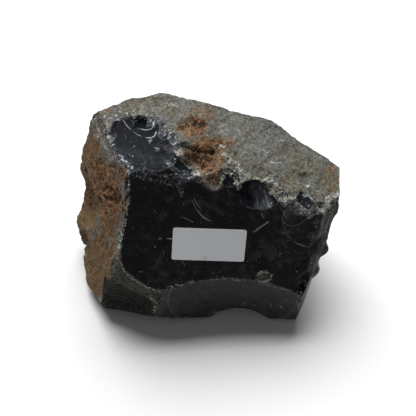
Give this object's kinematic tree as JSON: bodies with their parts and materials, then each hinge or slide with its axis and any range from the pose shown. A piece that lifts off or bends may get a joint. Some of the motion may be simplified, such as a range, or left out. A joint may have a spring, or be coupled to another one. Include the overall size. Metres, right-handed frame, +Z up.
{
  "type": "obsidian chunk",
  "caption": "raw chunk of black volcanic glass, flat breaks and shell-shaped scars under a grey-brown weathered rind, small paper label on the front",
  "frame": {"origin": "centre of the bounding box at its base, on the flat facet the stone rests on", "axes": "X is the stone's width, longest, with the weathered side at minus X; minus Y is the front with the label; Z is up"},
  "size_m": [0.1452, 0.0958, 0.0965],
  "materials": {
    "stone": "broken glass on the front and right, rough weathered rind on the top, left and back",
    "label": "matt white paper label"
  },
  "bodies": {
    "root": {"stone": "stone", "label": "label"}
  },
  "joints": []
}
